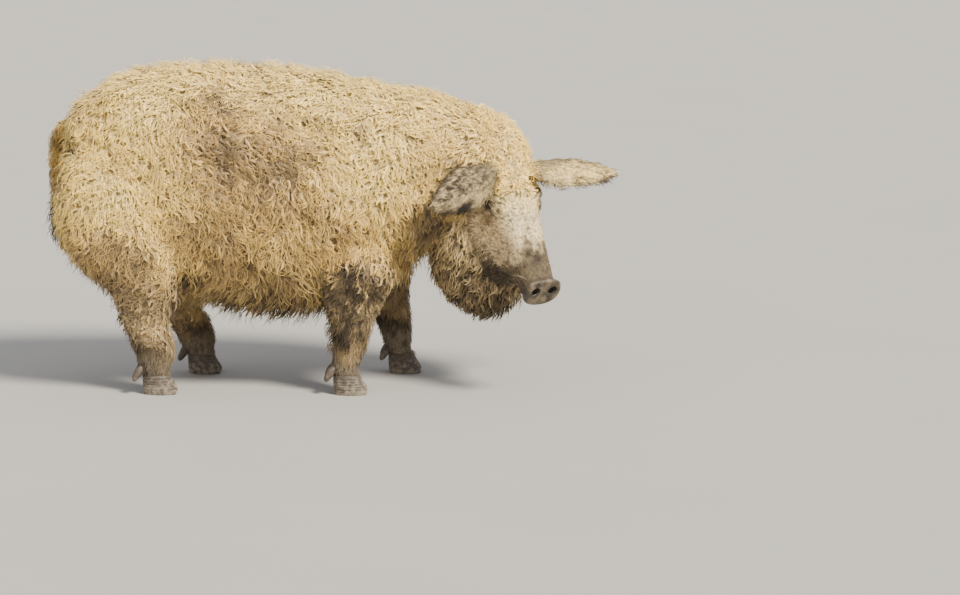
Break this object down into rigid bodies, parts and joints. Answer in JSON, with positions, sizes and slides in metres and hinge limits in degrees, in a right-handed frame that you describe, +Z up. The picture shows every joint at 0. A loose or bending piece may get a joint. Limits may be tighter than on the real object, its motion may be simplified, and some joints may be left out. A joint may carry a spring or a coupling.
{
  "type": "mangalica pig museum model",
  "caption": "Life-size still model of a woolly blonde mangalica pig, standing with its head lowered and turned to its right.",
  "frame": {"origin": "on the ground, at the middle of the whole animal's outline seen from above", "axes": "+X from tail to head along the trunk, +Y to the pig's left, +Z up"},
  "size_m": [1.37, 0.5348, 0.799],
  "materials": {
    "wool": "dense curly cream wool",
    "face_hair": "short grey-white hair over dark skin",
    "ear_hair": "short grey-brown hair",
    "leg_hair": "short coarse hair, muddy",
    "hoof_horn": "dark horn",
    "snout_skin": "moist dark gristle",
    "eye": "wet dark brown"
  },
  "bodies": {
    "root": {"trunk": "wool", "neck": "wool", "head": "face_hair", "lower_jaw": "face_hair", "snout_disc": "snout_skin", "eye_left": "eye", "eye_right": "eye", "ear_left": "ear_hair", "ear_right": "ear_hair", "tail": "wool", "foreleg_upper_left": "wool", "foreleg_upper_right": "wool", "foreleg_lower_left": "leg_hair", "foreleg_lower_right": "leg_hair", "hindleg_upper_left": "wool", "hindleg_upper_right": "wool", "hindleg_lower_left": "leg_hair", "hindleg_lower_right": "leg_hair", "forehoof_outer_left": "hoof_horn", "forehoof_inner_left": "hoof_horn", "forehoof_outer_right": "hoof_horn", "forehoof_inner_right": "hoof_horn", "hindhoof_outer_left": "hoof_horn", "hindhoof_inner_left": "hoof_horn", "hindhoof_outer_right": "hoof_horn", "hindhoof_inner_right": "hoof_horn", "fore_dewclaw_outer_left": "hoof_horn", "fore_dewclaw_inner_left": "hoof_horn", "fore_dewclaw_outer_right": "hoof_horn", "fore_dewclaw_inner_right": "hoof_horn", "hind_dewclaw_outer_left": "hoof_horn", "hind_dewclaw_inner_left": "hoof_horn", "hind_dewclaw_outer_right": "hoof_horn", "hind_dewclaw_inner_right": "hoof_horn"}
  },
  "joints": []
}
